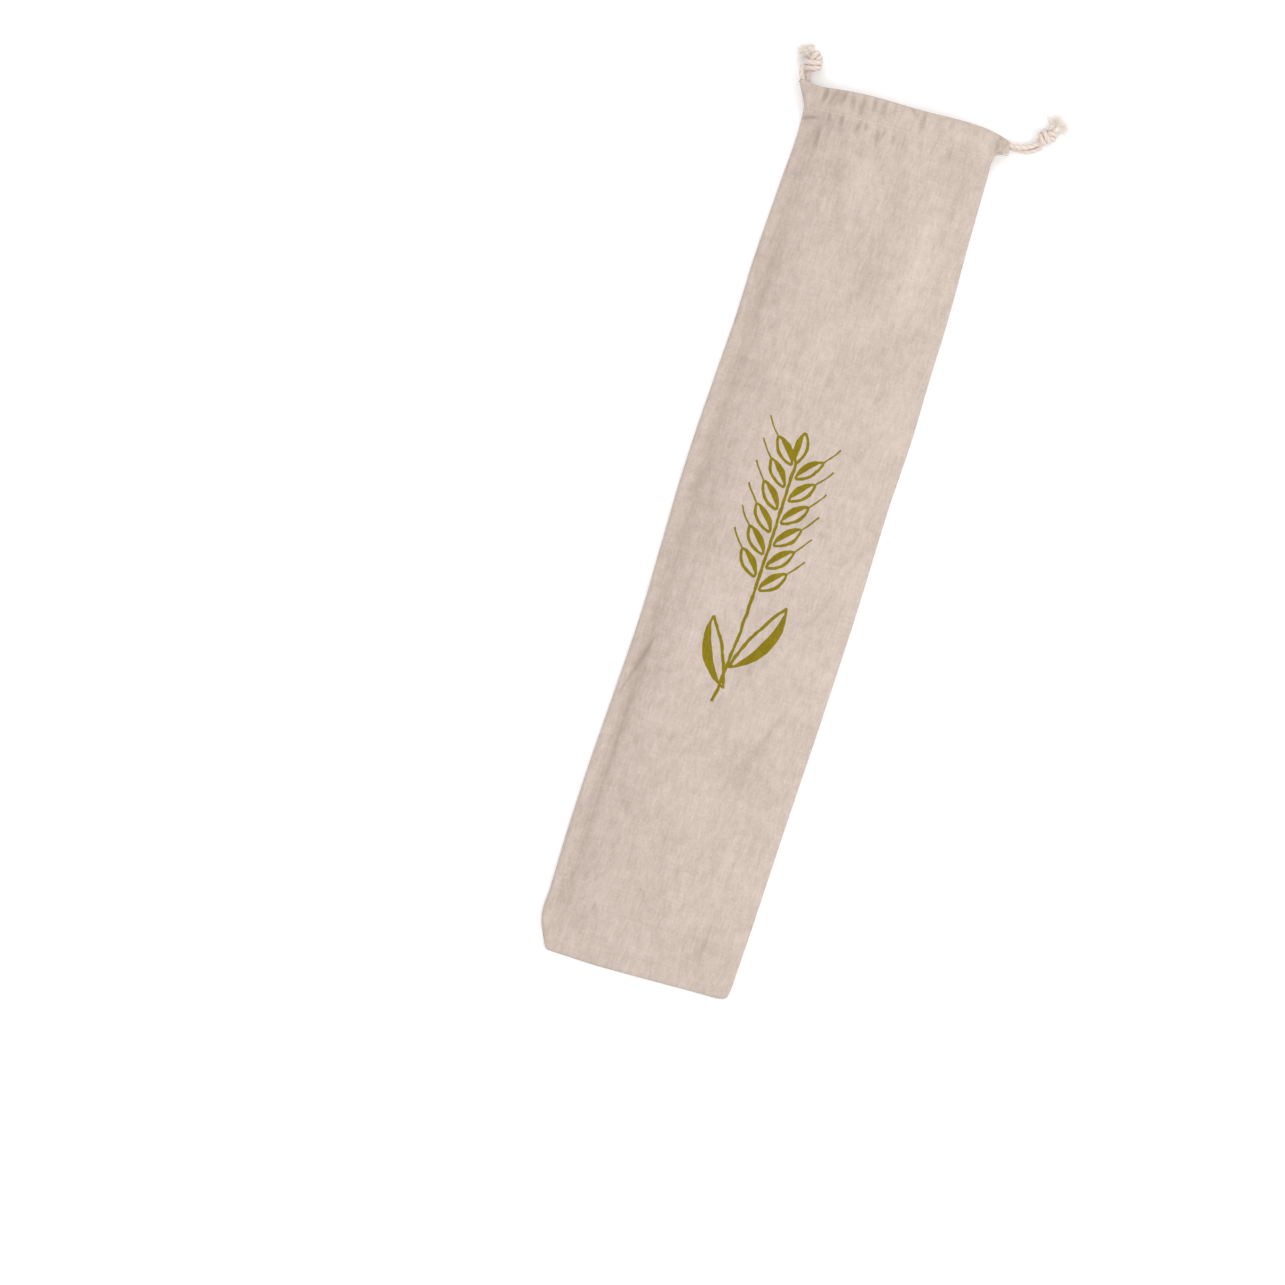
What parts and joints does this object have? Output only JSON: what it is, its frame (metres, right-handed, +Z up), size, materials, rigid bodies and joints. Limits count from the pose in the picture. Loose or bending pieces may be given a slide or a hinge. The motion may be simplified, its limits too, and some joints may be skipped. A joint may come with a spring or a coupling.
{
  "type": "linen bread bag",
  "caption": "Long narrow linen drawstring bag for a baguette, lying empty on its back, with knotted cotton cords out at both sides of its mouth.",
  "frame": {"origin": "bottom centre of the cloth's bounding box, on the surface that the bag lies on", "axes": "+Y along the bag towards its mouth, +Z up out of its printed front, +X to its right seen from above with the mouth up"},
  "size_m": [0.2116, 0.6978, 0.0198],
  "materials": {
    "linen": "matte plain-weave linen, undyed, with an olive screen print on the front",
    "cotton_cord": "matte braided cotton, natural"
  },
  "bodies": {
    "root": {"bag_cloth": "linen", "left_drawstring": "cotton_cord", "right_drawstring": "cotton_cord", "left_knot": "cotton_cord", "right_knot": "cotton_cord", "left_tuft": "cotton_cord", "right_tuft": "cotton_cord"}
  },
  "joints": []
}
